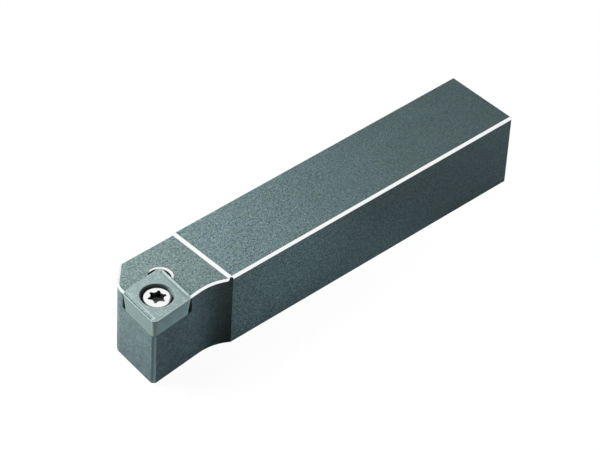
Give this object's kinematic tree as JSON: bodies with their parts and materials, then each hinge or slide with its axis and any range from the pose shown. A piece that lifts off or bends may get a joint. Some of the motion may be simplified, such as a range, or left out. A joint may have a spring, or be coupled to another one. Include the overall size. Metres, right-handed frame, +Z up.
{
  "type": "external turning tool",
  "caption": "Right-hand external turning tool: square steel shank with a relieved neck, and an 80 degree rhombic cutting insert held in a pocket by a countersunk screw.",
  "frame": {"origin": "middle of the shank's base face: half way along the straight shank and half way across it", "axes": "+X along the shank to the cutting end, +Y to the cutting side, +Z up; the base lies on Z = 0"},
  "size_m": [0.0894, 0.0161, 0.016],
  "materials": {
    "blasted_steel": "fine bead-blasted grey steel with bright bevelled edges",
    "carbide": "ground cemented carbide, satin light grey",
    "bright_screw": "bright plated steel, dark inside the socket"
  },
  "bodies": {
    "root": {"tool_holder": "blasted_steel", "cutting_insert": "carbide", "clamp_screw": "bright_screw"}
  },
  "joints": []
}
